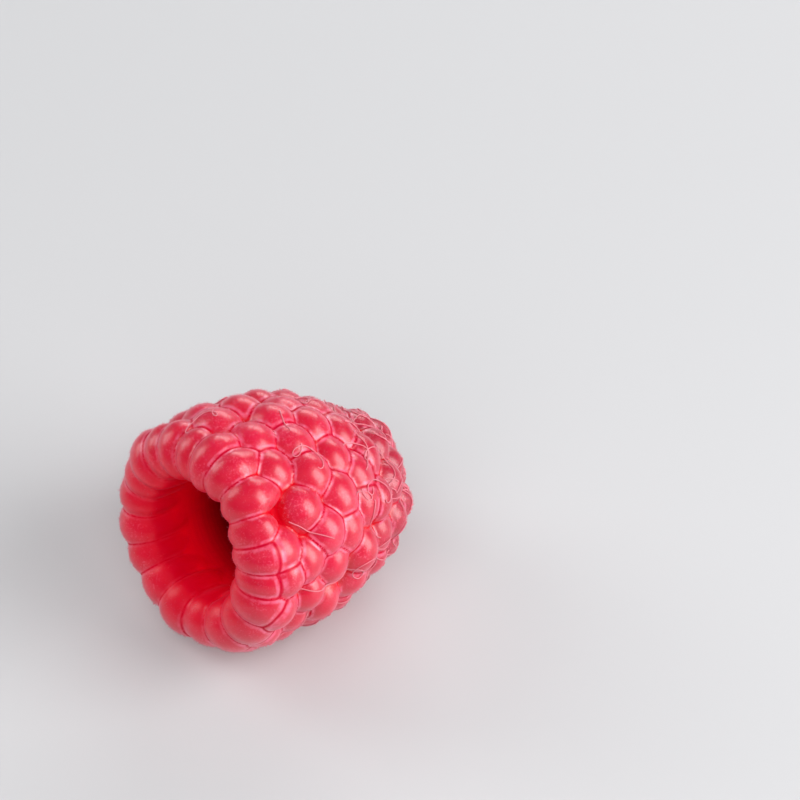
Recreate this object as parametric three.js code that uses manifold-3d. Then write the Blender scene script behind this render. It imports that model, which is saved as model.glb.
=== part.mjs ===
// A picked raspberry, lying on its side with the mouth of its hollow to the front (-Y).
// Millimetres, +Z up. The origin is under the middle of the fruit, on the surface that it lies on.
//
// The fruit is one body: rings of drupelets that have grown together round the hollow which the
// plant's core left. Its form is a wall turned about the fruit's own axis, and drupelets set in it.
// A place on the wall is given by its distance from the tip, measured along the outline over the
// belly and the rim and into the hollow, and by its angle round the axis.

import * as THREE from "three";
import { mergeVertices } from "three/addons/utils/BufferGeometryUtils.js";
import Module from "manifold-3d";

// The outline that the drupelets stand on, as radii and distances from the tip
const bellyRadius = 9.6;
const bellyFromTip = 14.2;
const shoulderTurn = 22; // degrees from square to the axis, where the rim's curve begins
const rimRadius = 7.6;
const rimCurve = 2.1;
const mouthFromTip = 21.1;
const funnelTurn = 128; // degrees, where the rim's curve ends
const throatRadius = 4.8;
const throatFromTip = 14.6;
const hollowEndRadius = 3.4;
const hollowEndFromTip = 5.0;
const hollowEndCurve = 2.5;

// Rows of drupelets on the flank, from the one at the tip to the row behind the rim
const rowCount = [1, 6, 10, 13, 15, 16, 17, 18, 18];
const rowTurn = [0, 23, 43, 63, 33, 52, 64, 54, 89]; // degrees to the first drupelet of each row
const rowGap = 2.35; // along the outline, at the tip
const rowGapGrowth = 0.1; // for each row nearer to the mouth
const lengthOverlap = 1.46; // half length over half the gap
const widthOverlap = 1.34; // half width over half the pitch
const halfHeight = 2.6;
const sink = 1.6; // from the outline down to the middle of a drupelet
const tipHalfWidth = 1.9;
const rowSlant = 1.6; // the rows run nearer to the mouth on the +X side by this, and on -X farther

// Drupelets of the rim, bent over it into the hollow
const rimTurns = [12, 27, 42, 60, 78, 92, 107, 123, 138, 153, 170, 187, 207, 226, 247, 269, 290, 312, 334, 356];
const rimShifts = [0, 0.5, 0.9, -0.6, -0.9, -0.8, 0, 0, 0, 0, 0, 0, 0, 0, 0, 0, 0, 0, 0, 0];
const rimFromTip = 27.1; // along the outline
const rimHalfLength = 5.1;
const rimWidthOverlap = 1.65;
const rimHalfHeight = 1.9;
const rimRoot = 0.9;
const rimSink = 0.8;
const rimInnerStretch = 0.25; // the end in the hollow is drawn out by this share
const rimInnerTaper = 0.35; // and lower by this one

// Unevenness
const strayAlong = 0.4;
const strayAround = 0.15; // of the pitch
const strayHeight = 0.2;
const sizeSpread = 0.1;

// Single drupelets that lie off their place in the row. They leave two gaps behind the rim.
const nudges = [
  { row: 8, place: 0, along: -1.2, degrees: 1, deeper: 0 },
  { row: 8, place: 14, along: -0.3, degrees: 6, deeper: 0 },
  { row: 8, place: 15, along: -0.4, degrees: -4, deeper: 0 },
  { row: 8, place: 16, along: -3.3, degrees: -2, deeper: -0.2 },
  { row: 8, place: 17, along: -1.4, degrees: 0, deeper: 0 },
  { row: 7, place: 0, along: -1.6, degrees: 7, deeper: 0 },
  { row: 7, place: 1, along: -1.2, degrees: 3, deeper: 0 },
  { row: 7, place: 2, along: -1.5, degrees: 5, deeper: 0.1 },
  { row: 7, place: 16, along: 0.6, degrees: 2, deeper: 0 },
  { row: 7, place: 17, along: -1.7, degrees: -7, deeper: 0 },
  { row: 6, place: 0, along: -1.9, degrees: -3, deeper: 0 },
  { row: 6, place: 1, along: -0.8, degrees: 2, deeper: 0.1 },
  { row: 6, place: 2, along: 0, degrees: 0, deeper: 0.3 },
  { row: 6, place: 14, along: 0, degrees: 10, deeper: 0 },
  { row: 6, place: 15, along: -0.8, degrees: 1, deeper: 0 },
  { row: 6, place: 16, along: -0.9, degrees: -3, deeper: 0 },
  { row: 5, place: 0, along: -0.7, degrees: -4, deeper: 0 },
  { row: 5, place: 1, along: -0.6, degrees: 1, deeper: 0.2 },
  { row: 5, place: 2, along: 0, degrees: 0, deeper: 0.4 },
  { row: 5, place: 3, along: 0.3, degrees: 2, deeper: 0.6 },
  { row: 5, place: 4, along: 0, degrees: 0, deeper: 0.3 },
  { row: 5, place: 15, along: -0.7, degrees: 2, deeper: 0 },
  { row: 4, place: 2, along: 0, degrees: 0, deeper: 0.4 },
  { row: 4, place: 3, along: 0, degrees: 0, deeper: 0.9 },
  { row: 4, place: 4, along: 0, degrees: 0, deeper: 0.5 },
  { row: 3, place: 1, along: 0, degrees: 0, deeper: 0.5 },
  { row: 3, place: 2, along: 0, degrees: 0, deeper: 0.7 },
  { row: 3, place: 3, along: 0, degrees: 0, deeper: 0.3 },
];
const unmoved = { along: 0, degrees: 0, deeper: 0 };

const wallSink = 1.0; // the wall's outside lies under the feet of the drupelets
const wallRiseStart = 25; // along the outline, from where the wall comes up to it
const wallRiseEnd = 31;
const wallSegments = 32;
const wallSteps = 40; // along the outline
const flankDetail = 1; // of the balls that drupelets are shaped from
const rimDetail = 2;
const slack = 0.02; // that small faces may be simplified by

// How it lies
const mouthTurnUp = 14.5; // degrees
const pressedFlat = 0.45; // off the lowest drupelets, by the fruit's own weight

const degrees = Math.PI / 180;
const wasm = await Module();
wasm.setup();

// A fixed draw between -1 and 1 for each drupelet and purpose.
function draw(drupelet, purpose) {
  const value = Math.sin(drupelet * 12.9898 + purpose * 78.233 + 1.7) * 43758.5453;
  return 2 * (value - Math.floor(value)) - 1;
}

// Where two lines meet, each given by a point and a way.
function crossing(start, way, end, endWay) {
  const reach = end.clone().sub(start).cross(endWay) / way.clone().cross(endWay);
  return start.clone().addScaledVector(way, reach);
}

// The outline from the tip, over the rim, to the end of the hollow: x is the radius, y is the
// distance from the tip.
function outlinePath() {
  const first = shoulderTurn * degrees;
  const last = funnelTurn * degrees;
  const rimCentre = new THREE.Vector2(rimRadius, mouthFromTip - rimCurve);
  const outwards = (turn) => new THREE.Vector2(Math.cos(turn), Math.sin(turn));
  const alongRim = (turn) => new THREE.Vector2(-Math.sin(turn), Math.cos(turn));
  const rimStart = rimCentre.clone().addScaledVector(outwards(first), rimCurve);
  const rimEnd = rimCentre.clone().addScaledVector(outwards(last), rimCurve);
  const belly = new THREE.Vector2(bellyRadius, bellyFromTip);
  const throat = new THREE.Vector2(throatRadius, throatFromTip);
  const hollowEnd = new THREE.Vector2(hollowEndRadius, hollowEndFromTip + hollowEndCurve);
  const shoulder = crossing(belly, new THREE.Vector2(0, 1), rimStart, alongRim(first));
  const funnel = crossing(rimEnd, alongRim(last), throat, throat.clone().sub(hollowEnd));

  const path = new THREE.Path();
  path.absellipse(0, bellyFromTip, bellyRadius, bellyFromTip, -Math.PI / 2, 0);
  path.quadraticCurveTo(shoulder.x, shoulder.y, rimStart.x, rimStart.y);
  path.absarc(rimCentre.x, rimCentre.y, rimCurve, first, last);
  path.quadraticCurveTo(funnel.x, funnel.y, throat.x, throat.y);
  path.lineTo(hollowEnd.x, hollowEnd.y);
  path.absellipse(0, hollowEnd.y, hollowEndRadius, hollowEndCurve, 0, -Math.PI / 2, true);
  return path;
}

const outline = outlinePath();
const outlineLength = outline.getLength();

// The point of the outline, the way along it and the way out of the flesh.
function frameAt(distance) {
  const share = THREE.MathUtils.clamp(distance / outlineLength, 0, 1);
  const along = outline.getTangent(share);
  return { point: outline.getPoint(share), along, out: new THREE.Vector2(along.y, -along.x) };
}

function turned(flat, angle) {
  return new THREE.Vector3(flat.x * Math.cos(angle), flat.x * Math.sin(angle), flat.y);
}

function solidFrom(geometry) {
  geometry.deleteAttribute("normal");
  geometry.deleteAttribute("uv");
  const merged = mergeVertices(geometry, 1e-4);
  return new wasm.Manifold(new wasm.Mesh({
    numProp: 3,
    vertProperties: merged.attributes.position.array,
    triVerts: new Uint32Array(merged.index.array),
  }));
}

// Moves each point of a unit ball by a rule, and gives the solid.
function shapedBall(detail, place) {
  const ball = new THREE.IcosahedronGeometry(1, detail);
  const position = ball.attributes.position;
  const p = new THREE.Vector3();
  for (let i = 0; i < position.count; i++) {
    p.fromBufferAttribute(position, i);
    const moved = place(p);
    position.setXYZ(i, moved.x, moved.y, moved.z);
  }
  return solidFrom(ball);
}

// A drupelet of the flank: an ellipsoid with its root sunk in the wall.
function flankDrupelet(distance, angle, halfLength, halfWidth, size, deeper) {
  const at = frameAt(distance);
  const out = turned(at.out, angle);
  const along = turned(at.along, angle);
  const around = new THREE.Vector3().crossVectors(out, along);
  const centre = turned(at.point, angle).addScaledVector(out, -sink - deeper);
  return shapedBall(flankDetail, (p) => centre.clone()
    .addScaledVector(along, p.x * halfLength * size)
    .addScaledVector(around, p.y * halfWidth * size)
    .addScaledVector(out, p.z * halfHeight * size));
}

// A drupelet of the rim: longer, with a shallow root, and bent along the outline.
function rimDrupelet(distance, angle, halfWidth, size) {
  const radius = frameAt(distance).point.x;
  return shapedBall(rimDetail, (p) => {
    const inwards = Math.max(p.x, 0);
    const reach = p.x + inwards * inwards * rimInnerStretch;
    const at = frameAt(distance + reach * rimHalfLength * size);
    const above = rimHalfHeight * size * (1 - inwards * rimInnerTaper);
    const height = p.z * (p.z > 0 ? above : rimRoot) - rimSink;
    const flat = at.point.clone().addScaledVector(at.out, height);
    return turned(flat, angle - (p.y * halfWidth * size) / radius);
  });
}

function wall() {
  const points = [];
  for (let i = 0; i <= wallSteps; i++) {
    const distance = (i / wallSteps) * outlineLength;
    const at = frameAt(distance);
    const risen = THREE.MathUtils.smoothstep(distance, wallRiseStart, wallRiseEnd);
    points.push(at.point.addScaledVector(at.out, (risen - 1) * wallSink));
  }
  points[0].x = 0;
  points[wallSteps].x = 0;
  const turnedWall = new THREE.LatheGeometry(points, wallSegments);
  turnedWall.rotateX(Math.PI / 2);
  return solidFrom(turnedWall);
}

function flankDrupelets() {
  const solids = [];
  let distance = 0;
  rowCount.forEach((count, row) => {
    const gap = rowGap + row * rowGapGrowth;
    if (row > 0) distance += gap;
    const at = frameAt(distance);
    const pitch = (2 * Math.PI * (at.point.x + at.out.x * (halfHeight - sink))) / count;
    for (let i = 0; i < count; i++) {
      const index = solids.length;
      const nudge = nudges.find((one) => one.row === row && one.place === i) ?? unmoved;
      const around = (i + strayAround * draw(index, 3)) / count;
      const angle = rowTurn[row] * degrees + around * 2 * Math.PI;
      const slant = (rowSlant * Math.cos(angle) * at.point.x) / bellyRadius;
      const stray = row ? strayAlong * draw(index, 2) : 0;
      solids.push(flankDrupelet(
        distance + slant + stray + nudge.along,
        angle + nudge.degrees * degrees,
        (gap / 2) * lengthOverlap,
        row ? (pitch / 2) * widthOverlap : tipHalfWidth,
        1 + sizeSpread * draw(index, 1),
        strayHeight * draw(index, 6) + nudge.deeper,
      ));
    }
  });
  return solids;
}

function rimDrupelets() {
  const radius = frameAt(rimFromTip).point.x;
  return rimTurns.map((turn, i) => {
    const before = rimTurns.at(i - 1);
    const after = rimTurns[(i + 1) % rimTurns.length];
    const pitch = (THREE.MathUtils.euclideanModulo(after - before, 360) / 2) * degrees * radius;
    return rimDrupelet(
      rimFromTip + rimShifts[i] + strayAlong * draw(i, 5),
      turn * degrees,
      (pitch / 2) * rimWidthOverlap,
      1 + sizeSpread * draw(i, 4),
    );
  });
}

// The one body, without the closed pockets that joining can leave between drupelets.
function grownTogether() {
  const joined = wasm.Manifold.union([wall(), ...flankDrupelets(), ...rimDrupelets()]);
  const bodies = joined.decompose().sort((a, b) => b.volume() - a.volume());
  return bodies[0].simplify(slack);
}

function laidDown(fruit) {
  const tilted = fruit.rotate([90 - mouthTurnUp, 0, 0]);
  const floor = tilted.boundingBox().min[2] + pressedFlat;
  const pressed = tilted.trimByPlane([0, 0, 1], floor);
  const { min, max } = pressed.boundingBox();
  return pressed.translate([-(min[0] + max[0]) / 2, -(min[1] + max[1]) / 2, -floor]);
}

function meshFrom(solid, name, material) {
  const { vertProperties, triVerts } = solid.getMesh();
  const geometry = new THREE.BufferGeometry();
  geometry.setAttribute("position", new THREE.BufferAttribute(vertProperties, 3));
  geometry.setIndex(new THREE.BufferAttribute(triVerts, 1));
  geometry.computeVertexNormals();
  const mesh = new THREE.Mesh(geometry, material);
  mesh.name = name;
  return mesh;
}

const flesh = new THREE.MeshStandardMaterial({ color: 0xd81a3c, roughness: 0.45, metalness: 0 });
flesh.name = "flesh";

const raspberry = new THREE.Group();
raspberry.name = "raspberry";
raspberry.add(meshFrom(laidDown(grownTogether()), "berry", flesh));

export default raspberry;
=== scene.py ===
import math

import bpy
import numpy as np
from mathutils import Matrix, Vector


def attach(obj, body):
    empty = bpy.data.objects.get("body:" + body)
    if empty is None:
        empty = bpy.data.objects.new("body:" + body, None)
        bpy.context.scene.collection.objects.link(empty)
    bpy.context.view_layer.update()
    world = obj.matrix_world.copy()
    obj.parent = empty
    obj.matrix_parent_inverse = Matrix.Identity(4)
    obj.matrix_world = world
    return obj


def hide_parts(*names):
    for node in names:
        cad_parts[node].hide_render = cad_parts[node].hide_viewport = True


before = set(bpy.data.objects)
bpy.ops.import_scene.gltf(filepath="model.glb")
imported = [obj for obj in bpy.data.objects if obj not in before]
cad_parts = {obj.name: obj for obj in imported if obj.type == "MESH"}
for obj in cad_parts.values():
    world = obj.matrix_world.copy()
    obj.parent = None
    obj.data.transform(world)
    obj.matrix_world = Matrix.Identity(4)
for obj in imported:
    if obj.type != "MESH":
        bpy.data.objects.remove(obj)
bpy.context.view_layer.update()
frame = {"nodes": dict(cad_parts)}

# A picked raspberry on its side. Sizes are in millimetres and turned into metres where a mesh is
# made. The fruit's own axes: z runs from the tip to the mouth, and angles go round it from +X.

mm = 0.001

fruit = {
    "bellyRadius": 9.6,
    "bellyFromTip": 14.2,
    "shoulderTurn": 22,        # degrees from square to the axis, where the rim's curve begins
    "rimRadius": 7.6,
    "rimCurve": 2.1,
    "mouthFromTip": 21.1,
    "funnelTurn": 128,         # degrees, where the rim's curve ends
    "throatRadius": 4.8,
    "throatFromTip": 14.6,
    "hollowEndRadius": 3.4,
    "hollowEndFromTip": 5.0,
    "hollowEndCurve": 2.5,
    "mouthTurnUp": 14.5,       # degrees
    "tipPlace": (-0.027, 11.109, 7.017),
    "bendSteps": 60,           # points of the outline
    "arcSteps": 160,
}


def lineCrossing(start, way, end, endWay):
    reach = np.cross(end - start, endWay) / np.cross(way, endWay)
    return start + reach * way


def bend(start, corner, end):
    t = np.linspace(0, 1, fruit["bendSteps"])[:, None]
    return (1 - t) ** 2 * start + 2 * t * (1 - t) * corner + t ** 2 * end


def arc(centre, radii, first, last):
    t = np.radians(np.linspace(first, last, fruit["arcSteps"]))[:, None]
    return centre + np.hstack([np.cos(t) * radii[0], np.sin(t) * radii[1]])


def outlinePoints(f):
    # Radius and distance from the tip, from the tip over the rim to the end of the hollow.
    rimCentre = np.array([f["rimRadius"], f["mouthFromTip"] - f["rimCurve"]])
    turns = np.radians([f["shoulderTurn"], f["funnelTurn"]])
    rimStart, rimEnd = (rimCentre + f["rimCurve"] * np.array([math.cos(t), math.sin(t)]) for t in turns)
    startWay, endWay = (np.array([-math.sin(t), math.cos(t)]) for t in turns)
    belly = np.array([f["bellyRadius"], f["bellyFromTip"]])
    throat = np.array([f["throatRadius"], f["throatFromTip"]])
    hollowEnd = np.array([f["hollowEndRadius"], f["hollowEndFromTip"] + f["hollowEndCurve"]])
    shoulder = lineCrossing(belly, np.array([0.0, 1.0]), rimStart, startWay)
    funnel = lineCrossing(rimEnd, endWay, throat, throat - hollowEnd)
    rimRadii = (f["rimCurve"], f["rimCurve"])
    stretches = [
        arc(np.array([0, f["bellyFromTip"]]), (f["bellyRadius"], f["bellyFromTip"]), -90, 0),
        bend(belly, shoulder, rimStart),
        arc(rimCentre, rimRadii, f["shoulderTurn"], f["funnelTurn"]),
        bend(rimEnd, funnel, throat),
        np.linspace(throat, hollowEnd, f["bendSteps"]),
        arc(np.array([0, hollowEnd[1]]), (f["hollowEndRadius"], f["hollowEndCurve"]), 0, -90),
    ]
    return np.vstack([stretches[0]] + [s[1:] for s in stretches[1:]])


outline = outlinePoints(fruit)
outlineDistances = np.concatenate([[0], np.cumsum(np.linalg.norm(np.diff(outline, axis=0), axis=1))])
outlineLength = outlineDistances[-1]


def onOutline(distance):
    return np.array([np.interp(distance, outlineDistances, outline[:, k]) for k in (0, 1)])


def outlineFrame(distance):
    # The point, the way along the outline and the way out of the flesh.
    step = 0.1
    point = onOutline(distance)
    along = onOutline(distance + step) - onOutline(max(distance - step, 0))
    along = along / np.linalg.norm(along)
    return point, along, np.array([along[1], -along[0]])


def turned(flat, angle):
    return Vector((flat[0] * math.cos(angle), flat[0] * math.sin(angle), flat[1]))


tilt = math.radians(fruit["mouthTurnUp"])
layDown = Matrix.Translation(Vector(fruit["tipPlace"]) * mm) @ Matrix.Rotation(math.pi / 2 - tilt, 4, "X")


def draw(drupelet, purpose):
    # A fixed draw between -1 and 1 for each drupelet and purpose, as in the part's source.
    value = math.sin(drupelet * 12.9898 + purpose * 78.233 + 1.7) * 43758.5453
    return 2 * (value - math.floor(value)) - 1


class NodeTree:
    # Adds a node by its type, its settings and what its sockets get.
    def __init__(self, tree):
        self.tree = tree

    def add(self, kind, settings=None, sockets=None, out=0):
        node = self.tree.nodes.new(kind)
        for key, value in (settings or {}).items():
            setattr(node, key, value)
        for key, value in (sockets or {}).items():
            self.feed(node.inputs[key], value)
        return Term(self, node.outputs[out]) if node.outputs else node

    def feed(self, socket, value):
        if isinstance(value, Term):
            self.tree.links.new(value.socket, socket)
        elif hasattr(value, "node"):
            self.tree.links.new(value, socket)
        else:
            socket.default_value = value


class Term:
    # A socket in an expression: sums on numbers add Math nodes.
    def __init__(self, owner, socket):
        self.owner = owner
        self.socket = socket

    def combine(self, operation, first, second):
        return self.owner.add("ShaderNodeMath", {"operation": operation}, {0: first, 1: second})

    def __add__(self, other):
        return self.combine("ADD", self, other)

    def __radd__(self, other):
        return self.combine("ADD", other, self)

    def __sub__(self, other):
        return self.combine("SUBTRACT", self, other)

    def __rsub__(self, other):
        return self.combine("SUBTRACT", other, self)

    def __mul__(self, other):
        return self.combine("MULTIPLY", self, other)

    def __rmul__(self, other):
        return self.combine("MULTIPLY", other, self)

    def __truediv__(self, other):
        return self.combine("DIVIDE", self, other)

    def output(self, name):
        return Term(self.owner, self.socket.node.outputs[name])


def meshObject(name, points, faces=()):
    mesh = bpy.data.meshes.new(name)
    mesh.from_pydata([tuple(p) for p in points], [], list(faces))
    piece = bpy.data.objects.new(name, mesh)
    bpy.context.collection.objects.link(piece)
    return piece


def storeAttribute(mesh, name, kind, values):
    attribute = mesh.attributes.new(name, kind, "POINT")
    key = "vector" if kind == "FLOAT_VECTOR" else "value"
    attribute.data.foreach_set(key, np.asarray(values, dtype=np.float32).ravel())


def newGeometryTree(name, inputs):
    tree = bpy.data.node_groups.new(name, "GeometryNodeTree")
    tree.interface.new_socket("Geometry", in_out="INPUT", socket_type="NodeSocketGeometry")
    for label, kind in inputs.items():
        tree.interface.new_socket(label, in_out="INPUT", socket_type="NodeSocket" + kind)
    tree.interface.new_socket("Geometry", in_out="OUTPUT", socket_type="NodeSocketGeometry")
    nodes = NodeTree(tree)
    entry = tree.nodes.new("NodeGroupInput")
    leave = tree.nodes.new("NodeGroupOutput")
    return nodes, entry, leave


def finishTree(nodes, geometry, entry, leave):
    real = nodes.add("GeometryNodeRealizeInstances", {}, {0: geometry})
    dressed = nodes.add("GeometryNodeSetMaterial", {}, {
        "Geometry": real, "Material": entry.outputs["Material"]})
    nodes.feed(leave.inputs[0], dressed)


def runTree(piece, tree, values):
    # Sets the named inputs, evaluates once and keeps the result as a plain mesh.
    modifier = piece.modifiers.new(tree.name, "NODES")
    modifier.node_group = tree
    for item in tree.interface.items_tree:
        if item.in_out == "INPUT" and item.name in values:
            modifier[item.identifier] = values[item.name]
    graph = bpy.context.evaluated_depsgraph_get()
    mesh = bpy.data.meshes.new_from_object(piece.evaluated_get(graph))
    piece.modifiers.clear()
    piece.data = mesh
    return piece


# The drupelets: the same sizes as in the part's source
drupelets = {
    "rowCount": [1, 6, 10, 13, 15, 16, 17, 18, 18],
    "rowTurn": [0, 23, 43, 63, 33, 52, 64, 54, 89],
    "rowGap": 2.35,
    "rowGapGrowth": 0.1,
    "lengthOverlap": 1.46,
    "widthOverlap": 1.34,
    "halfHeight": 2.6,
    "sink": 1.6,
    "tipHalfWidth": 1.9,
    "rowSlant": 1.6,
    "rimTurns": [12, 27, 42, 60, 78, 92, 107, 123, 138, 153,
                 170, 187, 207, 226, 247, 269, 290, 312, 334, 356],
    "rimShifts": [0, 0.5, 0.9, -0.6, -0.9, -0.8] + [0] * 14,
    "rimFromTip": 27.1,
    "rimHalfLength": 5.1,
    "rimWidthOverlap": 1.65,
    "rimHalfHeight": 1.9,
    "rimRoot": 0.9,
    "rimSink": 0.8,
    "strayAlong": 0.4,
    "strayAround": 0.15,
    "strayHeight": 0.2,
    "sizeSpread": 0.1,
    # single ones that lie off their place: (row, place in the row): (along, degrees round, deeper)
    "nudges": {(8, 0): (-1.2, 1, 0), (8, 14): (-0.3, 6, 0), (8, 15): (-0.4, -4, 0), (8, 16): (-3.3, -2, -0.2),
               (8, 17): (-1.4, 0, 0), (7, 0): (-1.6, 7, 0), (7, 1): (-1.2, 3, 0), (7, 2): (-1.5, 5, 0.1),
               (7, 16): (0.6, 2, 0), (7, 17): (-1.7, -7, 0), (6, 0): (-1.9, -3, 0), (6, 1): (-0.8, 2, 0.1),
               (6, 2): (0, 0, 0.3), (6, 14): (0, 10, 0), (6, 15): (-0.8, 1, 0), (6, 16): (-0.9, -3, 0),
               (5, 0): (-0.7, -4, 0), (5, 1): (-0.6, 1, 0.2), (5, 2): (0, 0, 0.4), (5, 3): (0.3, 2, 0.6),
               (5, 4): (0, 0, 0.3), (5, 15): (-0.7, 2, 0), (4, 2): (0, 0, 0.4), (4, 3): (0, 0, 0.9),
               (4, 4): (0, 0, 0.5), (3, 1): (0, 0, 0.5), (3, 2): (0, 0, 0.7), (3, 3): (0, 0, 0.3)},
    "rimInnerStretch": 0.25,
    "rimInnerTaper": 0.35,
    "wallSink": 1.0,
    "wallRise": (25.0, 31.0),
    "wallGrid": (240, 241),      # points along the outline and round the axis
    "ballDetail": 5,
    "voxel": 0.19,               # of the one skin that they grow into
    "smoothing": 2,
    "smoothingShare": 0.5,
}


def drupeletList(d):
    # One entry a drupelet: place, half sizes, sink and root, in the order of the part's source.
    found = []
    distance = 0.0
    for row, count in enumerate(d["rowCount"]):
        gap = d["rowGap"] + row * d["rowGapGrowth"]
        distance += gap if row else 0
        point, along, out = outlineFrame(distance)
        pitch = 2 * math.pi * (point[0] + out[0] * (d["halfHeight"] - d["sink"])) / count
        for i in range(count):
            index = len(found)
            size = 1 + d["sizeSpread"] * draw(index, 1)
            turn = math.radians(d["rowTurn"][row] + 360 * (i + d["strayAround"] * draw(index, 3)) / count)
            place = distance + d["rowSlant"] * math.cos(turn) * point[0] / fruit["bellyRadius"]
            place += d["strayAlong"] * draw(index, 2) if row else 0
            nudgeAlong, nudgeRound, deeper = d["nudges"].get((row, i), (0, 0, 0))
            found.append({
                "distance": place + nudgeAlong,
                "turn": turn + math.radians(nudgeRound),
                "half": (gap / 2 * d["lengthOverlap"] * size,
                         (pitch / 2 * d["widthOverlap"] if row else d["tipHalfWidth"]) * size,
                         d["halfHeight"] * size),
                "sink": d["sink"] + d["strayHeight"] * draw(index, 6) + deeper,
                "root": d["halfHeight"],
                "bent": 0.0,
            })
    radius = onOutline(d["rimFromTip"])[0]
    turns = d["rimTurns"]
    for i, turn in enumerate(turns):
        span = (turns[(i + 1) % len(turns)] - turns[i - 1]) % 360
        size = 1 + d["sizeSpread"] * draw(i, 4)
        found.append({
            "distance": d["rimFromTip"] + d["rimShifts"][i] + d["strayAlong"] * draw(i, 5),
            "turn": math.radians(turn),
            "half": (d["rimHalfLength"] * size,
                     math.radians(span) * radius / 4 * d["rimWidthOverlap"] * size,
                     d["rimHalfHeight"] * size),
            "sink": d["rimSink"],
            "root": d["rimRoot"],
            "bent": 1.0,
        })
    return found


allDrupelets = drupeletList(drupelets)


def drupeletPoints():
    piece = meshObject("drupeletPoints", [(0, 0, 0)] * len(allDrupelets))
    frames = [outlineFrame(p["distance"]) for p in allDrupelets]
    centres, alongs, arounds, outs = [], [], [], []
    for p, (point, along, out) in zip(allDrupelets, frames):
        outWay = turned(out, p["turn"])
        alongWay = turned(along, p["turn"])
        centres.append(turned(point, p["turn"]) - outWay * p["sink"])
        alongs.append(alongWay)
        arounds.append(outWay.cross(alongWay))
        outs.append(outWay)
    mesh = piece.data
    for name, values in (("centre", centres), ("along", alongs), ("around", arounds), ("out", outs),
                         ("half", [p["half"] for p in allDrupelets])):
        storeAttribute(mesh, name, "FLOAT_VECTOR", values)
    for name in ("distance", "turn", "sink", "root", "bent"):
        storeAttribute(mesh, name, "FLOAT", [p[name] for p in allDrupelets])
    storeAttribute(mesh, "radius", "FLOAT", [frame[0][0] for frame in frames])
    return piece


def outlineObject():
    curve = bpy.data.curves.new("outline", "CURVE")
    curve.dimensions = "3D"
    spline = curve.splines.new("POLY")
    spline.points.add(len(outline) - 1)
    for point, (radius, height) in zip(spline.points, outline):
        point.co = (radius, 0, height, 1)
    piece = bpy.data.objects.new("outline", curve)
    bpy.context.collection.objects.link(piece)
    return piece


def wrapped(nodes, curve, distance, turn, height):
    # The place of a distance, an angle and a height over the outline, as a vector.
    sample = nodes.add("GeometryNodeSampleCurve", {"mode": "LENGTH", "data_type": "FLOAT"},
                       {"Curves": curve, "Length": distance}, "Position")
    place = nodes.add("ShaderNodeSeparateXYZ", {}, {0: sample})
    way = nodes.add("ShaderNodeSeparateXYZ", {}, {0: sample.output("Tangent")})
    radius = place.output("X") + way.output("Z") * height
    axis = place.output("Z") - way.output("X") * height
    cosine = nodes.add("ShaderNodeMath", {"operation": "COSINE"}, {0: turn})
    sine = nodes.add("ShaderNodeMath", {"operation": "SINE"}, {0: turn})
    return nodes.add("ShaderNodeCombineXYZ", {}, {0: radius * cosine, 1: radius * sine, 2: axis})


def named(nodes, name, kind="FLOAT"):
    return nodes.add("GeometryNodeInputNamedAttribute", {"data_type": kind}, {"Name": name})


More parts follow.
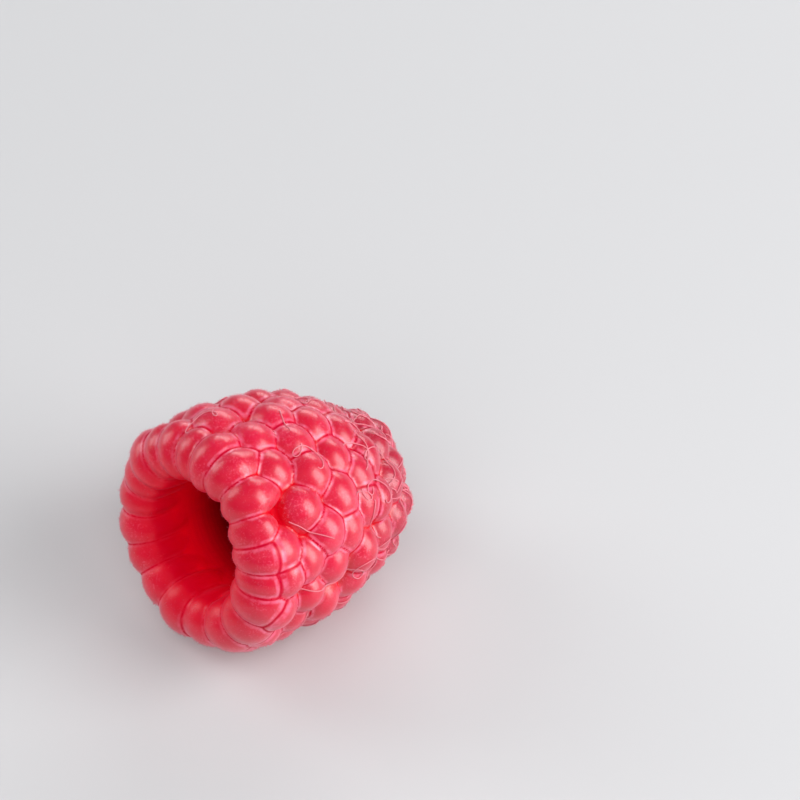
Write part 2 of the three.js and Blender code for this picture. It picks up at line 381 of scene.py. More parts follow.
def fleshTree():
    nodes, entry, leave = newGeometryTree("drupeletsAndWall", {
        "Outline": "Object", "Outline Length": "Float", "Ball Detail": "Int",
        "Wall Rows": "Int", "Wall Columns": "Int", "Wall Sink": "Float",
        "Rise Start": "Float", "Rise End": "Float", "Inner Stretch": "Float", "Inner Taper": "Float",
        "Material": "Material"})
    curve = nodes.add("GeometryNodeObjectInfo", {}, {"Object": entry.outputs["Outline"]}, "Geometry")

    ball = nodes.add("GeometryNodeMeshIcoSphere", {}, {
        "Radius": 1.0, "Subdivisions": entry.outputs["Ball Detail"]})
    placed = nodes.add("GeometryNodeInstanceOnPoints", {}, {
        "Points": entry.outputs["Geometry"], "Instance": ball})
    balls = nodes.add("GeometryNodeRealizeInstances", {}, {0: placed})
    local = nodes.add("ShaderNodeSeparateXYZ", {}, {0: nodes.add("GeometryNodeInputPosition")})
    half = nodes.add("ShaderNodeSeparateXYZ", {}, {0: named(nodes, "half", "FLOAT_VECTOR")})

    # A flank drupelet stays straight, with its half sizes along three ways.
    straight = named(nodes, "centre", "FLOAT_VECTOR")
    for axis, way in zip("XYZ", ("along", "around", "out")):
        size = local.output(axis) * half.output(axis)
        reach = nodes.add("ShaderNodeVectorMath", {"operation": "SCALE"},
                          {0: named(nodes, way, "FLOAT_VECTOR"), "Scale": size})
        straight = nodes.add("ShaderNodeVectorMath", {"operation": "ADD"}, {0: straight, 1: reach})

    # A rim drupelet bends along the outline, over the rim and into the hollow.
    inwards = nodes.add("ShaderNodeMath", {"operation": "MAXIMUM"}, {0: local.output("X"), 1: 0.0})
    above = nodes.add("ShaderNodeMath", {"operation": "MAXIMUM"}, {0: local.output("Z"), 1: 0.0})
    above = above * (1.0 - inwards * entry.outputs["Inner Taper"])
    below = nodes.add("ShaderNodeMath", {"operation": "MINIMUM"}, {0: local.output("Z"), 1: 0.0})
    height = above * half.output("Z") + below * named(nodes, "root") - named(nodes, "sink")
    reach = local.output("X") + inwards * inwards * entry.outputs["Inner Stretch"]
    bentOver = wrapped(nodes, curve,
                       named(nodes, "distance") + reach * half.output("X"),
                       named(nodes, "turn") - local.output("Y") * half.output("Y") / named(nodes, "radius"),
                       height)
    place = nodes.add("ShaderNodeMix", {"data_type": "VECTOR"},
                      {0: named(nodes, "bent"), 4: straight, 5: bentOver}, 1)
    shaped = nodes.add("GeometryNodeSetPosition", {}, {"Geometry": balls, "Position": place})

    # The wall is a grid wrapped round the outline.
    grid = nodes.add("GeometryNodeMeshGrid", {}, {"Size X": 1.0, "Size Y": 1.0,
                                                  "Vertices X": entry.outputs["Wall Rows"],
                                                  "Vertices Y": entry.outputs["Wall Columns"]})
    cell = nodes.add("ShaderNodeSeparateXYZ", {}, {0: nodes.add("GeometryNodeInputPosition")})
    distance = (cell.output("X") + 0.5) * entry.outputs["Outline Length"]
    risen = nodes.add("ShaderNodeMapRange", {"interpolation_type": "SMOOTHSTEP"}, {
        0: distance, 1: entry.outputs["Rise Start"], 2: entry.outputs["Rise End"], 3: 1.0, 4: 0.0})
    angle = cell.output("Y") * (2 * math.pi)
    sunk = risen * entry.outputs["Wall Sink"] * -1.0
    wallPlace = wrapped(nodes, curve, distance, angle, sunk)
    wall = nodes.add("GeometryNodeSetPosition", {}, {"Geometry": grid, "Position": wallPlace})
    wall = nodes.add("GeometryNodeMergeByDistance", {}, {"Geometry": wall, "Distance": 0.001})

    both = nodes.tree.nodes.new("GeometryNodeJoinGeometry")
    nodes.tree.links.new(wall.socket, both.inputs[0])
    nodes.tree.links.new(shaped.socket, both.inputs[0])
    finishTree(nodes, both.outputs[0], entry, leave)
    return nodes.tree


def grownTogether(piece, d):
    # Turns what overlaps into one skin with soft grooves, in metres.
    piece.data.transform(Matrix.Scale(mm, 4))
    remesh = piece.modifiers.new("grownTogether", "REMESH")
    remesh.mode = "VOXEL"
    remesh.voxel_size = d["voxel"] * mm
    smooth = piece.modifiers.new("softGrooves", "SMOOTH")
    smooth.factor = d["smoothingShare"]
    smooth.iterations = d["smoothing"]
    graph = bpy.context.evaluated_depsgraph_get()
    mesh = bpy.data.meshes.new_from_object(piece.evaluated_get(graph))
    piece.modifiers.clear()
    piece.data = mesh
    return piece


def fleshPiece(material):
    curve = outlineObject()
    flesh = runTree(drupeletPoints(), fleshTree(), {
        "Outline": curve, "Outline Length": float(outlineLength), "Ball Detail": drupelets["ballDetail"],
        "Wall Rows": drupelets["wallGrid"][0], "Wall Columns": drupelets["wallGrid"][1],
        "Wall Sink": drupelets["wallSink"],
        "Rise Start": drupelets["wallRise"][0], "Rise End": drupelets["wallRise"][1],
        "Inner Stretch": drupelets["rimInnerStretch"], "Inner Taper": drupelets["rimInnerTaper"],
        "Material": material})
    print("drupelets and wall:", len(flesh.data.polygons), "faces")
    grownTogether(flesh, drupelets)
    print("one skin:", len(flesh.data.vertices), "points")
    bpy.data.objects.remove(curve)
    flesh.name = "raspberryFlesh"
    flesh.data.name = "raspberryFlesh"
    return flesh


# What the skin stores for its colours
marks = {
    "edgeFit": 0.9,              # how much better one drupelet has to fit than the next to be a dome
    "openFit": 0.25,             # a poorer fit than this is groove
    "gapFit": 0.45,              # and a poorer one than this is on the way to an open gap
    "hollow": (24.5, 32.5),      # along the outline, where the skin turns into the hollow's
    "none": -9.0,                # the fit where a drupelet is not near
    "atOnce": 4000,              # points looked up at a time
}


def surfaceFacts(points):
    # For each point in the fruit's own axes, in mm: its distance along the outline and its angle.
    radius = np.hypot(points[:, 0], points[:, 1])
    flat = np.stack([radius, points[:, 2]], axis=1)
    distance = np.zeros(len(points))
    everyOther = slice(None, None, 2)
    places, lengths = outline[everyOther], outlineDistances[everyOther]
    for start in range(0, len(points), marks["atOnce"]):
        part = slice(start, start + marks["atOnce"])
        nearest = np.linalg.norm(flat[part, None, :] - places[None], axis=2).argmin(axis=1)
        distance[part] = lengths[nearest]
    return distance, np.arctan2(points[:, 1], points[:, 0])


def markDrupelets(flesh):
    # Stores for each point how near a groove or gap it is, how high on its drupelet, that one's own
    # tone, how far down the hollow it is, and its distance along the outline.
    count = len(flesh.data.vertices)
    points = np.empty(count * 3, dtype=np.float32)
    flesh.data.vertices.foreach_get("co", points)
    points = points.reshape(-1, 3).astype(float) / mm
    distance, angle = surfaceFacts(points)
    best = np.full(count, marks["none"])
    second = np.full(count, marks["none"])
    owner = np.zeros(count, dtype=int)
    for index, p in enumerate(allDrupelets):
        frameHere = outlineFrame(p["distance"])
        if p["bent"]:
            a = (distance - p["distance"]) / p["half"][0]
            a = np.where(a > 0, a / (1 + drupelets["rimInnerStretch"]), a)
            gap = (angle - p["turn"] + math.pi) % (2 * math.pi) - math.pi
            b = gap * frameHere[0][0] / p["half"][1]
        else:
            outWay = turned(frameHere[2], p["turn"])
            alongWay = turned(frameHere[1], p["turn"])
            aroundWay = outWay.cross(alongWay)
            centre = turned(frameHere[0], p["turn"]) - outWay * p["sink"]
            offset = points - np.array(centre)
            outside = offset @ np.array(outWay) > 0
            a = offset @ np.array(alongWay) / p["half"][0]
            b = offset @ np.array(aroundWay) / p["half"][1]
            a = np.where(outside, a, marks["none"])
        fit = 1 - a ** 2 - b ** 2
        better = fit > best
        second = np.where(better, best, np.maximum(second, fit))
        owner = np.where(better, index, owner)
        best = np.where(better, fit, best)
    edge = np.clip((best - second) / marks["edgeFit"], 0, 1)
    hollowStart, hollowEnd = marks["hollow"]
    inside = np.clip((distance - hollowStart) / (hollowEnd - hollowStart), 0, 1)
    tones = np.array([draw(i, 7) for i in range(len(allDrupelets))])
    mesh = flesh.data
    storeAttribute(mesh, "groove", "FLOAT", 1 - edge * np.clip(best / marks["openFit"], 0, 1))
    storeAttribute(mesh, "gap", "FLOAT", np.clip(1 - best / marks["gapFit"], 0, 1))
    storeAttribute(mesh, "dome", "FLOAT", np.clip(best, 0, 1))
    storeAttribute(mesh, "tone", "FLOAT", tones[owner])
    storeAttribute(mesh, "hollow", "FLOAT", inside * inside * (3 - 2 * inside))
    storeAttribute(mesh, "reach", "FLOAT", distance)


def pressFlat(mesh):
    count = len(mesh.vertices)
    points = np.empty(count * 3, dtype=np.float32)
    mesh.vertices.foreach_get("co", points)
    points[2::3] = np.maximum(points[2::3], 0)
    mesh.vertices.foreach_set("co", points)
    mesh.update()


# The skin: crimson domes, paler towards their tops as painted highlight, pale edges that are painted sheen,
# painted shade in the narrow grooves, redder gaps, and a red hollow brightened as painted light with painted
# shade deep down
skin = {
    "ripe": (0.64, 0.0, 0.032, 1),
    "pale": (0.72, 0.004, 0.056, 1),
    "tip": (0.44, 0.0, 0.030, 1),
    "gap": (0.66, 0.0, 0.012, 1),
    # painted shade: darker red deep in the narrow grooves
    "paintedCreaseShade": (0.46, 0.0, 0.020, 1),
    # painted sheen: the pale band along each drupelet's edge, where the down would catch the light edge-on
    "paintedSheenBand": (0.84, 0.14, 0.25, 1),
    "rim": (0.64, 0.0, 0.030, 1),
    # the hollow's own red, made this bright as painted light shining through the wall
    "hollow": (0.94, 0.0, 0.013, 1),
    # painted shade: nearly black deep down the hollow
    "throat": (0.09, 0.0, 0.0, 1),
    "grain": (0.80, 0.10, 0.17, 1),
    "down": (0.90, 0.16, 0.27, 1),
    "cloudScale": 420.0,         # of the noises, to a metre
    "patchScale": 1400.0,
    "grainScale": 5200.0,
    # ranges along the outline, in mm from the tip
    "tipFades": (7.0, 17.0),
    "rimComes": (21.0, 27.0),
    "paintedSheenBandFades": (25.0, 28.0),
    "speckleFades": (27.0, 30.0),
    "paintedThroatShadeComes": (30.5, 36.5),
    "fuzzComes": (3.0, 17.0),
    "fuzzFades": (22.5, 28.0),
    # ranges of the groove mark, which is 0 on a dome and 1 in a groove
    "paintedSheenBandComes": (0.50, 0.72),
    "paintedSheenBandEnds": (0.80, 0.94),
    "paintedCreaseShadeComes": (0.86, 1.0),
    "moistComes": (0.80, 1.0),
    "speckleEnds": (0.6, 0.9),
    # ranges of the gap mark, the noises and the facing
    "gapComes": (0.05, 0.6),
    "paleComes": (0.50, 1.0),
    "sheenBreakupPatches": (0.32, 0.60),
    "speckles": (0.52, 0.68),
    "speckleClouds": (0.46, 0.62),
    "fuzzFacing": (0.40, 0.95),
    # strengths
    "toneShare": 0.14,
    "paintedDomeHighlightShare": 0.2,
    "rimShare": 0.7,
    "paintedSheenBandShare": 0.45,
    "paintedSheenBandGrain": 0.7,
    "paintedSheenBandLossAtRim": 0.8,
    "paintedCreaseShadeShare": 0.7,
    "speckleShare": 0.65,
    "fuzzShare": 0.64,
    "fuzzAtTip": 0.4,
    "fuzzLossAtRim": 0.7,
    "roughness": 0.38,
    "roughnessGrain": 0.2,
    "roughnessHollow": 0.15,
    "bumpStrength": 0.4,
    "bumpHeight": 0.05,          # mm
    "coat": 1.0,
    "coatRoughness": 0.30,
    "glossIor": 1.40,
    "moistRoughness": 0.6,
    "moistGloss": 0.05,
    "downGloss": 0.1,
    "subsurface": 0.30,
    "subsurfaceRadius": (1.0, 0.08, 0.10),
    "subsurfaceScale": 1.0,      # mm
}


def skinMaterial():
    material = bpy.data.materials.new("raspberrySkin")
    material.use_nodes = True
    tree = material.node_tree
    tree.nodes.clear()
    nodes = NodeTree(tree)
    place = nodes.add("ShaderNodeTexCoord", out="Object")

    def stored(name):
        return nodes.add("ShaderNodeAttribute", {"attribute_name": name}, out="Fac")

    def noise(scale, detail):
        return nodes.add("ShaderNodeTexNoise", {}, {"Vector": place, "Scale": scale, "Detail": detail}, "Fac")

    def between(value, name):
        low, high = skin[name]
        smooth = {"interpolation_type": "SMOOTHSTEP"}
        return nodes.add("ShaderNodeMapRange", smooth, {0: value, 1: low, 2: high})

    def tint(factor, first, name):
        return nodes.add("ShaderNodeMix", {"data_type": "RGBA"}, {0: factor, 6: first, 7: skin[name]}, 2)

    groove, gap, tone, hollow, dome, reach = (stored(n) for n in (
        "groove", "gap", "tone", "hollow", "dome", "reach"))
    cloud = noise(skin["cloudScale"], 3.0)
    patches = noise(skin["patchScale"], 3.0)
    grain = noise(skin["grainScale"], 2.0)

    # Paler where the noise and each drupelet's own tone say so, which is real tone, and paler towards each
    # dome's top, which is painted highlight.
    toneAndDomeHighlight = cloud + tone * skin["toneShare"] + dome * skin["paintedDomeHighlightShare"]
    colour = tint(between(toneAndDomeHighlight, "paleComes"), skin["ripe"], "pale")
    colour = tint(between(reach, "rimComes") * skin["rimShare"], colour, "rim")
    colour = tint(1.0 - between(reach, "tipFades"), colour, "tip")
    # Painted sheen: a pale band along each drupelet's edge next to the groove, broken up by noise and fading
    # at the rim.
    paintedSheenBand = between(groove, "paintedSheenBandComes") * (1.0 - between(groove, "paintedSheenBandEnds"))
    sheenBreakup = between(patches, "sheenBreakupPatches") * (skin["paintedSheenBandShare"] + grain * skin["paintedSheenBandGrain"])
    rimLoss = 1.0 - between(reach, "paintedSheenBandFades") * skin["paintedSheenBandLossAtRim"]
    colour = tint(paintedSheenBand * sheenBreakup * rimLoss, colour, "paintedSheenBand")
    # Painted shade: darker red deep in the narrow grooves, where shade falls, but not in the open gaps.
    colour = tint(between(groove, "paintedCreaseShadeComes") * (1.0 - gap) * skin["paintedCreaseShadeShare"], colour, "paintedCreaseShade")
    colour = tint(between(gap, "gapComes"), colour, "gap")
    speckle = between(grain, "speckles") * (1.0 - between(groove, "speckleEnds"))
    speckle = speckle * (1.0 - between(reach, "speckleFades")) * between(cloud, "speckleClouds")
    colour = tint(speckle * skin["speckleShare"], colour, "grain")
    # The hollow's own red, made bright as painted light that stands in for light shining through the wall.
    colour = tint(hollow, colour, "hollow")
    # Painted shade: nearly black deep down the hollow, where shade falls.
    colour = tint(between(reach, "paintedThroatShadeComes"), colour, "throat")
    rough = skin["roughness"] + (grain - 0.5) * skin["roughnessGrain"] + hollow * skin["roughnessHollow"]
    bump = nodes.add("ShaderNodeBump", {}, {
        "Strength": skin["bumpStrength"], "Distance": skin["bumpHeight"] * mm, "Height": grain})

    inGroove = between(groove, "moistComes")
    outside = 1.0 - hollow
    glossy = nodes.add("ShaderNodeBsdfPrincipled", {}, {
        "Base Color": colour,
        "Roughness": rough,
        "Normal": bump,
        "Subsurface Weight": skin["subsurface"],
        "Subsurface Radius": skin["subsurfaceRadius"],
        "Subsurface Scale": skin["subsurfaceScale"] * mm,
        "Coat Weight": outside * skin["coat"],
        "Coat Roughness": skin["coatRoughness"],
        "IOR": skin["glossIor"],
    })
    moist = nodes.add("ShaderNodeBsdfPrincipled", {}, {
        "Base Color": colour,
        "Roughness": skin["moistRoughness"],
        "Subsurface Weight": skin["subsurface"],
        "Subsurface Radius": skin["subsurfaceRadius"],
        "Subsurface Scale": skin["subsurfaceScale"] * mm,
        "Specular IOR Level": skin["moistGloss"],
    })
    downy = nodes.add("ShaderNodeBsdfPrincipled", {}, {
        "Base Color": skin["down"], "Roughness": 1.0, "Specular IOR Level": skin["downGloss"]})
    facing = nodes.add("ShaderNodeLayerWeight", {}, {"Blend": 0.5}, "Facing")
    fuzz = between(facing, "fuzzFacing") * (1.0 - inGroove)
    fuzz = fuzz * (1.0 - between(reach, "fuzzFades") * skin["fuzzLossAtRim"])
    fuzz = fuzz * (between(reach, "fuzzComes") * (1 - skin["fuzzAtTip"]) + skin["fuzzAtTip"])
    smooth = nodes.add("ShaderNodeMixShader", {}, {0: 1.0 - (1.0 - inGroove) * outside, 1: glossy, 2: moist})
    shader = nodes.add("ShaderNodeMixShader", {}, {0: fuzz * grain * skin["fuzzShare"], 1: smooth, 2: downy})
    nodes.add("ShaderNodeOutputMaterial", {}, {"Surface": shader})
    return material


# The down: short fine hairs all over the outside and the rim
down = {
    "perSquareMillimetre": 26.0,
    "length": 0.24,
    "footRadius": 0.010,
    "sides": 3,
    "lean": 0.9,                 # radians, at most, about each of two ways
    "spin": 6.28,                # and round itself
    "sizes": (0.55, 1.25),       # shares of the length and radius
    "seed": 4,
    "sizeSeed": 9,
    "thinning": (23.5, 29.0),    # along the outline, where it thins out towards the hollow
    "mostGroove": 0.72,          # none deeper in the grooves
    "lowest": 0.35,              # above the surface that the fruit lies on
    "colour": (0.90, 0.15, 0.23, 1),
    "roughness": 0.5,
}

# Both kinds of thread are darker in places
threadShade = {
    "scale": 900.0,              # of the noise, to a metre
    "darker": 0.6,
    "roughnessRange": 0.2,
    "sheen": 0.2,
}


def threadMaterial(name, colour, roughness):
    material = bpy.data.materials.new(name)
    material.use_nodes = True
    tree = material.node_tree
    tree.nodes.clear()
    nodes = NodeTree(tree)
    place = nodes.add("ShaderNodeTexCoord", out="Object")
    patchy = nodes.add("ShaderNodeTexNoise", {}, {
        "Vector": place, "Scale": threadShade["scale"], "Detail": 1.0}, "Fac")
    darker = (*(threadShade["darker"] * c for c in colour[:3]), 1)
    shade = nodes.add("ShaderNodeMix", {"data_type": "RGBA"}, {0: patchy, 6: darker, 7: colour}, 2)
    shader = nodes.add("ShaderNodeBsdfPrincipled", {}, {
        "Base Color": shade,
        "Roughness": patchy * threadShade["roughnessRange"] + roughness,
        "Sheen Weight": threadShade["sheen"],
    })
    nodes.add("ShaderNodeOutputMaterial", {}, {"Surface": shader})
    return material


def downTree():
    nodes, entry, leave = newGeometryTree("downOnSkin", {
        "Skin": "Object", "Density": "Float", "Length": "Float", "Foot Radius": "Float", "Lean": "Float",
        "Sides": "Int", "Smallest": "Float", "Largest": "Float", "Seed": "Int", "Size Seed": "Int",
        "Thin From": "Float", "Thin To": "Float", "Most Groove": "Float", "Lowest": "Float",
        "Material": "Material"})
    skinned = nodes.add("GeometryNodeObjectInfo", {}, {"Object": entry.outputs["Skin"]}, "Geometry")
    height = nodes.add("ShaderNodeSeparateXYZ", {}, {0: nodes.add("GeometryNodeInputPosition")}, "Z")
    above = nodes.add("ShaderNodeMath", {"operation": "GREATER_THAN"},
                      {0: height, 1: entry.outputs["Lowest"]})
    full = nodes.add("ShaderNodeMapRange", {}, {0: named(nodes, "reach"), 1: entry.outputs["Thin From"],
                                                2: entry.outputs["Thin To"], 3: 1.0, 4: 0.0})
    onDome = nodes.add("ShaderNodeMath", {"operation": "LESS_THAN"},
                       {0: named(nodes, "groove"), 1: entry.outputs["Most Groove"]})
    spots = nodes.add("GeometryNodeDistributePointsOnFaces", {"distribute_method": "RANDOM"}, {
        "Mesh": skinned, "Selection": above * onDome, "Density": full * entry.outputs["Density"],
        "Seed": entry.outputs["Seed"]}, "Points")
    upright = spots.output("Rotation")
    leaning = nodes.add("FunctionNodeRandomValue", {"data_type": "FLOAT_VECTOR"}, {
        0: (-1.0, -1.0, 0.0), 1: (1.0, 1.0, down["spin"]), "Seed": entry.outputs["Seed"]}, 0)
    leanScale = nodes.add("ShaderNodeCombineXYZ", {}, {
        0: entry.outputs["Lean"], 1: entry.outputs["Lean"], 2: 1.0})
    tipped = nodes.add("ShaderNodeVectorMath", {"operation": "MULTIPLY"}, {0: leaning, 1: leanScale})
    turn = nodes.add("FunctionNodeEulerToRotation", {}, {0: tipped})
    facing = nodes.add("FunctionNodeRotateRotation", {"rotation_space": "LOCAL"}, {0: upright, 1: turn})
    hair = nodes.add("GeometryNodeMeshCone", {"fill_type": "NONE"}, {
        "Vertices": entry.outputs["Sides"], "Side Segments": 1, "Radius Top": 0.0,
        "Radius Bottom": entry.outputs["Foot Radius"], "Depth": entry.outputs["Length"]})
    size = nodes.add("FunctionNodeRandomValue", {"data_type": "FLOAT"}, {
        2: entry.outputs["Smallest"], 3: entry.outputs["Largest"], "Seed": entry.outputs["Size Seed"]}, 1)
    hairs = nodes.add("GeometryNodeInstanceOnPoints", {}, {
        "Points": spots, "Instance": hair, "Rotation": facing, "Scale": size})
    finishTree(nodes, hairs, entry, leave)
    return nodes.tree


def downPiece(flesh):
    piece = runTree(meshObject("raspberryDown", [(0, 0, 0)]), downTree(), {
        "Skin": flesh, "Density": down["perSquareMillimetre"] / mm ** 2, "Length": down["length"] * mm,
        "Foot Radius": down["footRadius"] * mm, "Sides": down["sides"], "Lean": down["lean"],
        "Smallest": down["sizes"][0], "Largest": down["sizes"][1],
        "Seed": down["seed"], "Size Seed": down["sizeSeed"],
        "Thin From": down["thinning"][0], "Thin To": down["thinning"][1],
        "Most Groove": down["mostGroove"], "Lowest": down["lowest"] * mm,
        "Material": threadMaterial("paleDown", down["colour"], down["roughness"])})
    print("down:", len(piece.data.polygons), "faces")
    return piece


# The styles: dried curly threads that lie on the drupelets
styles = {
    "share": (1.9, 0.15),        # threads to a drupelet, at the tip and at the rim
    "mostEach": 2,
    "firstDraw": 11,             # the drupelet's draws that its threads use
    "drawsEach": 6,
    "bareFrom": 15.0,            # from here on, away from the tip, none is drawn
    "clearOfPlaced": 4.0,        # this near to one that is listed
    "length": (1.8, 4.2),
    "coilRadius": (0.3, 0.9),
    "coilTurns": (0.5, 1.4),
    "radius": 0.050,
    "clearance": 0.05,
    "steps": 30,
    "bridging": 5,               # rounds of smoothing over the grooves
    "sides": 6,
    "endTaper": 0.5,
    "secondShift": 0.6,          # of a drupelet's second thread, along the outline
    "rayHeight": 6.0,            # over the outline, from where the skin is looked for
    "rayLength": 12.0,
    "deepest": 7.5,              # below that height, where a thread may lie
    "colour": (0.92, 0.24, 0.31, 1),
    "roughness": 0.45,
    # listed one by one, most of them where the picture shows one: distance along the outline, turn and
    # heading in degrees, length, coil radius, coil turns
    "placed": [
        (18.7, 136, 20, 0.6, 0.75, 0.8), (14.2, 101, 330, 0.9, 0.7, 0.7), (7.0, 49, 110, 3.0, 0.5, 0.5),
        (10.9, 35, 150, 2.2, 0.9, 0.6), (22.4, 41, 140, 3.6, 0.3, 0.3), (22.2, 3, 170, 4.2, 0.3, 0.3),
        (19.9, 0, 200, 2.6, 0.5, 0.6), (17.9, 93, 60, 2.4, 0.3, 0.4), (6.5, 22, 180, 1.2, 0.3, 0.5),
        (14.4, 42, 30, 2.0, 0.8, 0.8), (13.2, 7, 150, 2.6, 0.6, 0.7), (9.0, 70, 150, 2.4, 0.8, 0.8),
        (11.5, 85, 120, 2.6, 0.7, 0.8), (8.5, 95, 60, 2.2, 0.6, 0.9),
    ],
}


def gapOverSkin(p, distance, turn):
    # Roughly how far a drupelet is from a place on the flank, in mm.
    aside = (p["turn"] - math.radians(turn) + math.pi) % (2 * math.pi) - math.pi
    return math.hypot(p["distance"] - distance, aside * onOutline(distance)[0])


def styleList(s):
    found = []
    for index, p in enumerate(allDrupelets):
        share = s["share"][0] + (s["share"][1] - s["share"][0]) * p["distance"] / drupelets["rimFromTip"]
        nearPlaced = min(gapOverSkin(p, one[0], one[1]) for one in s["placed"]) < s["clearOfPlaced"]
        if p["bent"] or (nearPlaced and p["distance"] > s["bareFrom"]):
            continue
        for extra in range(s["mostEach"]):
            purpose = s["firstDraw"] + s["drawsEach"] * extra
            if draw(index, purpose) > 2 * (share - extra) - 1:
                continue
            spread = [0.5 + 0.5 * draw(index, purpose + k) for k in range(1, s["drawsEach"])]
            found.append({
                "distance": p["distance"] + s["secondShift"] * extra,
                "turn": p["turn"],
                "heading": 2 * math.pi * spread[0],
                "length": s["length"][0] + spread[1] * (s["length"][1] - s["length"][0]),
                "coil": s["coilRadius"][0] + spread[2] * (s["coilRadius"][1] - s["coilRadius"][0]),
                "turns": s["coilTurns"][0] + spread[3] * (s["coilTurns"][1] - s["coilTurns"][0]),
                "phase": 2 * math.pi * spread[4],
            })
    for distance, turn, heading, length, coil, turns in s["placed"]:
        found.append({"distance": distance, "turn": math.radians(turn), "heading": math.radians(heading),
                      "length": length, "coil": coil, "turns": turns, "phase": 0.0})
    return found


def stylePoints(found):
    piece = meshObject("raspberryStyles", [(0, 0, 0)] * len(found))
    turnedDown = layDown.to_3x3()
    ways = {"centre": [], "along": [], "around": [], "out": []}
    for p in found:
        point, along, out = outlineFrame(p["distance"])
        outWay = turned(out, p["turn"])
        alongWay = turned(along, p["turn"])
        ways["centre"].append(layDown @ (turned(point, p["turn"]) * mm))
        ways["along"].append(turnedDown @ alongWay)
        ways["around"].append(turnedDown @ outWay.cross(alongWay))
        ways["out"].append(turnedDown @ outWay)
    for name, values in ways.items():
        storeAttribute(piece.data, name, "FLOAT_VECTOR", values)
    for name, unit in (("heading", 1), ("length", mm), ("coil", mm), ("turns", 1), ("phase", 1)):
        storeAttribute(piece.data, name, "FLOAT", [p[name] * unit for p in found])
    return piece


def styleTree():
    nodes, entry, leave = newGeometryTree("stylesOnSkin", {
        "Skin": "Object", "Steps": "Int", "Bridging": "Int", "Clearance": "Float", "Radius": "Float",
        "Sides": "Int", "End Taper": "Float", "Ray Height": "Float", "Ray Length": "Float",
        "Deepest": "Float", "Material": "Material"})

    def maths(operation, first, second=0.0):
        return nodes.add("ShaderNodeMath", {"operation": operation}, {0: first, 1: second})

    def vectors(operation, sockets, out="Vector"):
        return nodes.add("ShaderNodeVectorMath", {"operation": operation}, sockets, out)

    skinned = nodes.add("GeometryNodeObjectInfo", {}, {"Object": entry.outputs["Skin"]}, "Geometry")
    straight = nodes.add("GeometryNodeCurvePrimitiveLine", {}, {
        "Start": (0.0, 0.0, 0.0), "End": (0.0, 0.0, 1.0)})
    stepped = nodes.add("GeometryNodeResampleCurve", {}, {"Curve": straight, "Count": entry.outputs["Steps"]})
    placed = nodes.add("GeometryNodeInstanceOnPoints", {}, {
        "Points": entry.outputs["Geometry"], "Instance": stepped})
    threads = nodes.add("GeometryNodeRealizeInstances", {}, {0: placed})

    # The way of a thread over the skin, seen from above: straight on, with a coil laid over it.
    share = nodes.add("GeometryNodeSplineParameter", {}, {}, "Factor")
    heading, phase, coil = named(nodes, "heading"), named(nodes, "phase"), named(nodes, "coil")
    angle = share * named(nodes, "turns") * (2 * math.pi) + phase
    forward = share * named(nodes, "length")
    ahead = maths("COSINE", heading) * forward + coil * (maths("COSINE", angle) - maths("COSINE", phase))
    aside = maths("SINE", heading) * forward + coil * (maths("SINE", angle) - maths("SINE", phase))
    centre, out, along, around = (
        named(nodes, way, "FLOAT_VECTOR") for way in ("centre", "out", "along", "around"))
    flat = vectors("ADD", {0: centre, 1: vectors("SCALE", {0: along, "Scale": ahead})})
    flat = vectors("ADD", {0: flat, 1: vectors("SCALE", {0: around, "Scale": aside})})

    # Its height is where a ray from above meets the skin, smoothed so that it spans the grooves.
    high = vectors("ADD", {0: flat, 1: vectors("SCALE", {0: out, "Scale": entry.outputs["Ray Height"]})})
    inward = vectors("SCALE", {0: out, "Scale": -1.0})
    hit = nodes.add("GeometryNodeRaycast", {}, {"Target Geometry": skinned, "Source Position": high,
                                                "Ray Direction": inward,
                                                "Ray Length": entry.outputs["Ray Length"]}, "Hit Distance")
    drop = maths("MINIMUM", hit, entry.outputs["Deepest"])
    kept = nodes.add("GeometryNodeStoreNamedAttribute", {"data_type": "FLOAT", "domain": "POINT"}, {
        "Geometry": threads, "Name": "drop", "Value": drop})
    smooth = nodes.add("GeometryNodeBlurAttribute", {"data_type": "FLOAT"}, {
        "Value": named(nodes, "drop"), "Iterations": entry.outputs["Bridging"]})
    above = Term(nodes, entry.outputs["Clearance"]) + entry.outputs["Ray Height"]
    lifted = above - maths("MINIMUM", named(nodes, "drop"), smooth)
    place = vectors("ADD", {0: flat, 1: vectors("SCALE", {0: out, "Scale": lifted})})
    laid = nodes.add("GeometryNodeSetPosition", {}, {"Geometry": kept, "Position": place})

    taper = nodes.add("ShaderNodeMapRange", {}, {
        0: share, 1: 0.0, 2: 1.0, 3: 1.0, 4: entry.outputs["End Taper"]})
    thick = nodes.add("GeometryNodeSetCurveRadius", {}, {"Curve": laid, "Radius": taper})
    section = nodes.add("GeometryNodeCurvePrimitiveCircle", {}, {
        "Resolution": entry.outputs["Sides"], "Radius": entry.outputs["Radius"]})
    tubes = nodes.add("GeometryNodeCurveToMesh", {}, {
        "Curve": thick, "Profile Curve": section, "Fill Caps": True})
    finishTree(nodes, tubes, entry, leave)
    return nodes.tree


def stylesPiece(flesh):
    piece = runTree(stylePoints(styleList(styles)), styleTree(), {
        "Skin": flesh, "Steps": styles["steps"], "Bridging": styles["bridging"],
        "Clearance": styles["clearance"] * mm, "Radius": styles["radius"] * mm,
        "Sides": styles["sides"], "End Taper": styles["endTaper"], "Ray Height": styles["rayHeight"] * mm,
        "Ray Length": styles["rayLength"] * mm, "Deepest": styles["deepest"] * mm,
        "Material": threadMaterial("driedStyle", styles["colour"], styles["roughness"])})
    print("styles:", len(piece.data.polygons), "faces")
    return piece


# Stage, light and camera
stage = {
    "floorSide": 3.0,          # metres
    "floorColour": (0.60, 0.60, 0.61, 1),
    "floorRoughness": 0.85,
    "world": (0.92, 0.95, 1.0, 1),
    "worldStrength": 0.15,
}

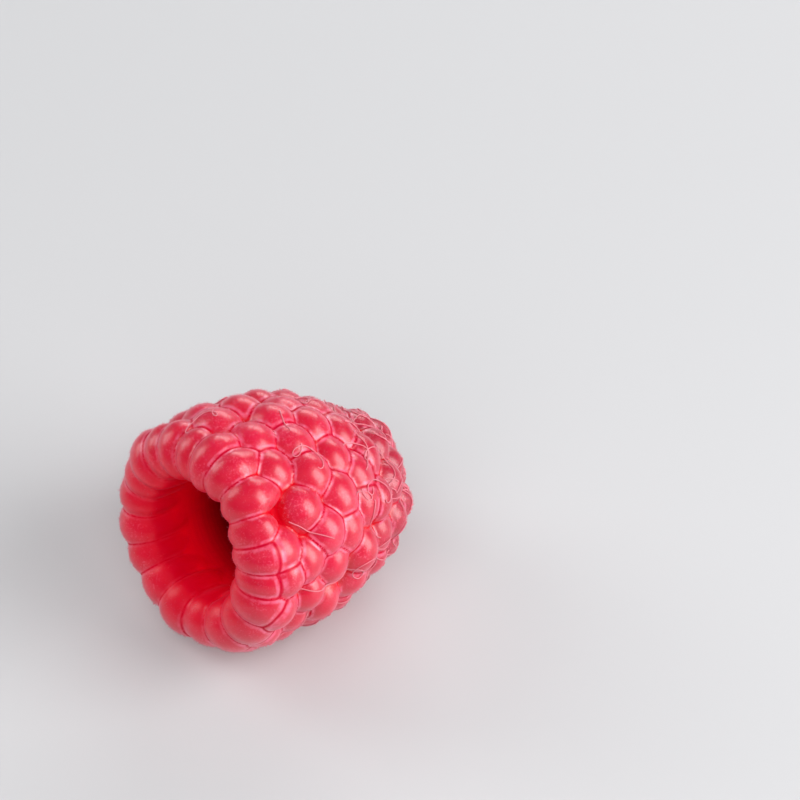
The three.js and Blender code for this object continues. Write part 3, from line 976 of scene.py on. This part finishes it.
# How far right of the fruit, up and towards the camera, as the camera sees it, and the sizes, all
# in metres; the power; and whether the fruit's gloss shows it
lights = {
    "key": ((0.26, 0.04, 0.14), (0.20, 0.34), 1.15, True),
    "front": ((-0.06, 0.02, 0.32), (0.30, 0.30), 0.66, False),
    "left": ((-0.22, 0.14, 0.03), (0.12, 0.20), 0.22, True),
    "behind": ((0.05, 0.25, -0.08), (0.20, 0.10), 0.25, True),
}
lightsAimAt = Vector((0, 0, 0.011))

view = {
    "azimuth": 48.6,
    "elevation": 46.9,
    "lens": 130.0,
    "sensor": 36.0,
    "nearest": 0.01,
    "mmPerPixel": 0.0865,      # at the fruit
    "imageSide": 800,
    "axisPixel": (291.2, 500.4),   # where the picture shows the axis, axisFromTip from the tip
    "axisFromTip": 10.0,
}


def plainMaterial(name, colour, roughness):
    material = bpy.data.materials.new(name)
    material.use_nodes = True
    shader = material.node_tree.nodes["Principled BSDF"]
    shader.inputs["Base Color"].default_value = colour
    shader.inputs["Roughness"].default_value = roughness
    return material


def addFloor():
    side = stage["floorSide"] / 2
    floor = meshObject("floor", [(-side, -side, 0), (side, -side, 0), (side, side, 0), (-side, side, 0)],
                       [(0, 1, 2, 3)])
    floor.data.materials.append(plainMaterial("paleFloor", stage["floorColour"], stage["floorRoughness"]))


def viewAxes():
    azimuth, elevation = math.radians(view["azimuth"]), math.radians(view["elevation"])
    right = Vector((math.cos(azimuth), math.sin(azimuth), 0))
    back = Vector((math.sin(azimuth) * math.cos(elevation), -math.cos(azimuth) * math.cos(elevation),
                   math.sin(elevation)))
    return right, back.cross(right), back


def addCamera():
    right, up, back = viewAxes()
    half = view["imageSide"] / 2
    anchor = layDown @ Vector((0, 0, view["axisFromTip"] * mm))
    shiftRight = (half - view["axisPixel"][0]) * view["mmPerPixel"] * mm
    shiftUp = (view["axisPixel"][1] - half) * view["mmPerPixel"] * mm
    target = anchor + right * shiftRight + up * shiftUp
    width = view["imageSide"] * view["mmPerPixel"] * mm
    camera = bpy.data.objects.new("camera", bpy.data.cameras.new("camera"))
    camera.data.lens = view["lens"]
    camera.data.sensor_width = view["sensor"]
    camera.data.clip_start = view["nearest"]
    distance = width * view["lens"] / view["sensor"]
    axes = Matrix((right, up, back)).transposed().to_4x4()
    camera.matrix_world = Matrix.Translation(target + back * distance) @ axes
    bpy.context.collection.objects.link(camera)
    bpy.context.scene.camera = camera


def addLight(name, away, size, power, shiny):
    right, up, back = viewAxes()
    place = lightsAimAt + right * away[0] + up * away[1] + back * away[2]
    light = bpy.data.lights.new(name, "AREA")
    light.shape = "RECTANGLE"
    light.size, light.size_y = size
    light.energy = power
    lamp = bpy.data.objects.new(name, light)
    lamp.visible_glossy = shiny
    facing = (place - lightsAimAt).to_track_quat("Z", "Y").to_matrix().to_4x4()
    lamp.matrix_world = Matrix.Translation(place) @ facing
    bpy.context.collection.objects.link(lamp)


def addWorld():
    world = bpy.data.worlds.new("softRoom")
    world.use_nodes = True
    back = world.node_tree.nodes["Background"]
    back.inputs["Color"].default_value = stage["world"]
    back.inputs["Strength"].default_value = stage["worldStrength"]
    bpy.context.scene.world = world


# Make it
bpy.context.scene.view_settings.view_transform = "Standard"
addCamera()
addFloor()
addWorld()
for lightName, (lightAway, lightSize, lightPower, lightShiny) in lights.items():
    addLight(lightName, lightAway, lightSize, lightPower, lightShiny)
print("stage, camera and lights in place")

raspberry = fleshPiece(skinMaterial())
markDrupelets(raspberry)
raspberry.data.transform(layDown)
pressFlat(raspberry.data)
raspberry.data.polygons.foreach_set("use_smooth", [True] * len(raspberry.data.polygons))
raspberry.data.materials.clear()
raspberry.data.materials.append(bpy.data.materials["raspberrySkin"])
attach(raspberry, "root")
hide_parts("berry")
print("flesh in place")

for piece in (downPiece(raspberry), stylesPiece(raspberry)):
    pressFlat(piece.data)
    piece.data.polygons.foreach_set("use_smooth", [True] * len(piece.data.polygons))
    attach(piece, "root")
